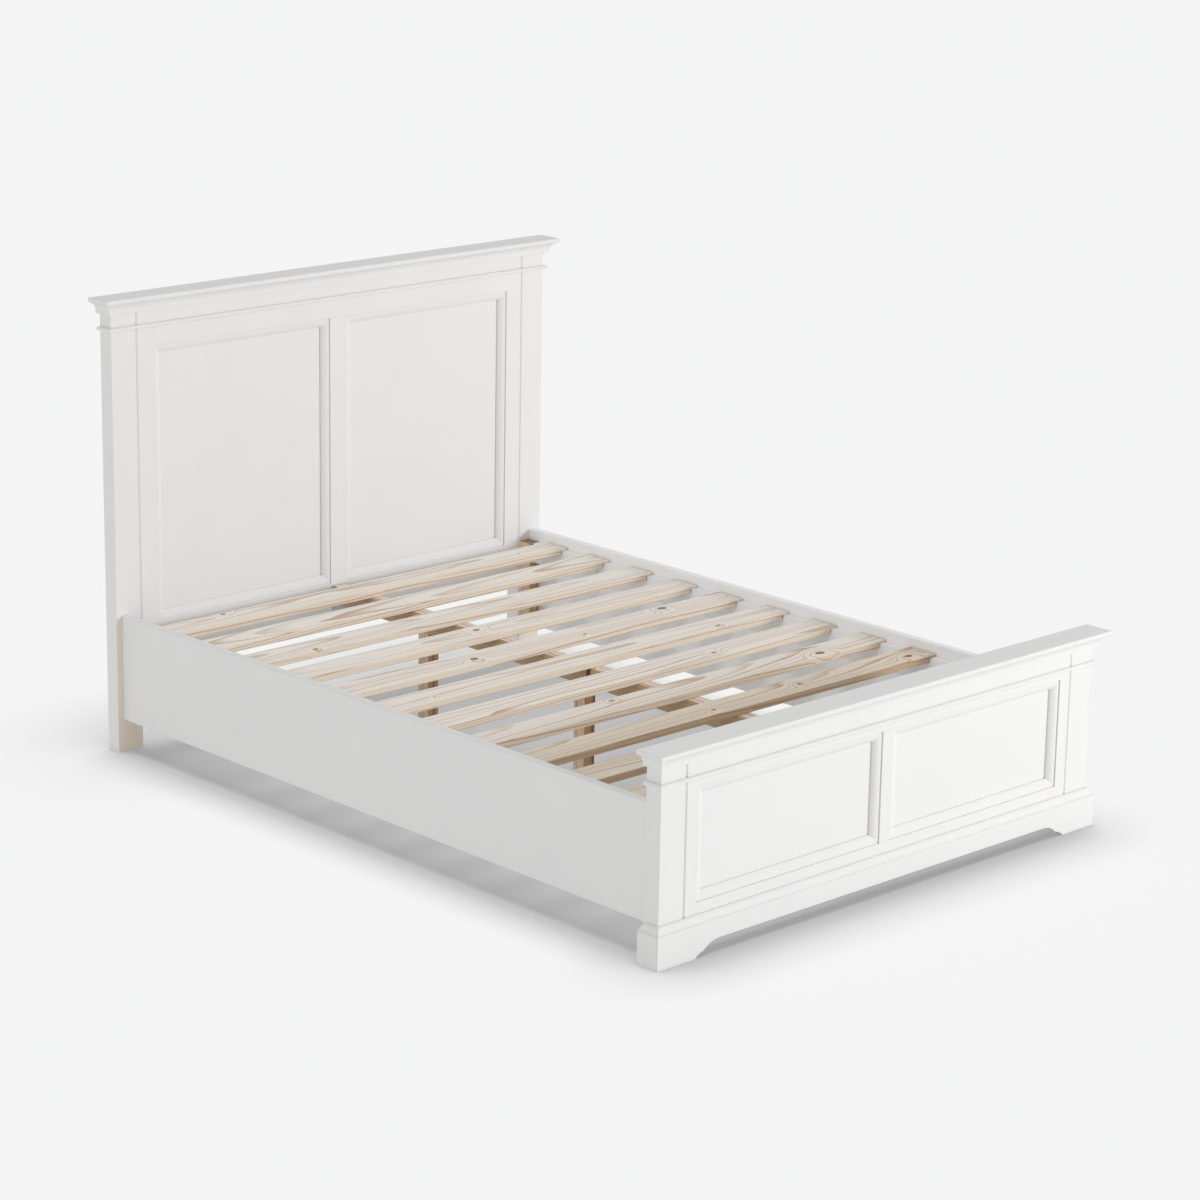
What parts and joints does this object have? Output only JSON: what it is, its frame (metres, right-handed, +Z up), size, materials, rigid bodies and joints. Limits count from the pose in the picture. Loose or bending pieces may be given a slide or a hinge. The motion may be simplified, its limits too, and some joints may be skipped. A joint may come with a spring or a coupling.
{
  "type": "bed frame",
  "caption": "Painted wooden double bed frame with a panelled headboard, a low panelled footboard on bracket feet, pine slats and a centre beam on legs.",
  "frame": {"origin": "on the floor, under the middle of the whole frame", "axes": "+X across the bed to the right seen from the foot, +Y from the foot to the head, +Z up"},
  "size_m": [1.514, 2.047, 1.176],
  "materials": {
    "white_paint": "satin white paint on wood",
    "raw_pine": "planed untreated pine",
    "zinc_steel": "zinc plated",
    "insert_zinc": "cast, unpolished"
  },
  "bodies": {
    "root": {"beam_hanger_foot": "zinc_steel", "beam_hanger_head": "zinc_steel", "centre_beam": "raw_pine", "centre_leg_foot": "raw_pine", "centre_leg_head": "raw_pine", "centre_leg_middle": "raw_pine", "corner_block_foot_left": "raw_pine", "corner_block_foot_right": "raw_pine", "corner_block_head_left": "raw_pine", "corner_block_head_right": "raw_pine", "foot_bead": "white_paint", "foot_bottom_rail": "white_paint", "foot_cap_board": "white_paint", "foot_crown": "white_paint", "foot_mullion": "white_paint", "foot_panel_left": "white_paint", "foot_panel_moulding_left": "white_paint", "foot_panel_moulding_right": "white_paint", "foot_panel_right": "white_paint", "foot_plinth_front": "white_paint", "foot_plinth_return_left": "white_paint", "foot_plinth_return_right": "white_paint", "foot_post_left": "white_paint", "foot_post_right": "white_paint", "foot_stile_left": "white_paint", "foot_stile_right": "white_paint", "foot_top_rail": "white_paint", "head_bead": "white_paint", "head_bottom_rail": "white_paint", "head_cap_board": "white_paint", "head_crown": "white_paint", "head_mullion": "white_paint", "head_panel_left": "white_paint", "head_panel_moulding_left": "white_paint", "head_panel_moulding_right": "white_paint", "head_panel_right": "white_paint", "head_post_left": "white_paint", "head_post_right": "white_paint", "head_stile_left": "white_paint", "head_stile_right": "white_paint", "head_top_rail": "white_paint", "ledger_left": "raw_pine", "ledger_right": "raw_pine", "post_inserts": "insert_zinc", "rail_bolts": "zinc_steel", "side_rail_left": "white_paint", "side_rail_right": "white_paint", "slat_01": "raw_pine", "slat_02": "raw_pine", "slat_03": "raw_pine", "slat_04": "raw_pine", "slat_05": "raw_pine", "slat_06": "raw_pine", "slat_07": "raw_pine", "slat_08": "raw_pine", "slat_09": "raw_pine", "slat_10": "raw_pine", "slat_11": "raw_pine"}
  },
  "joints": []
}
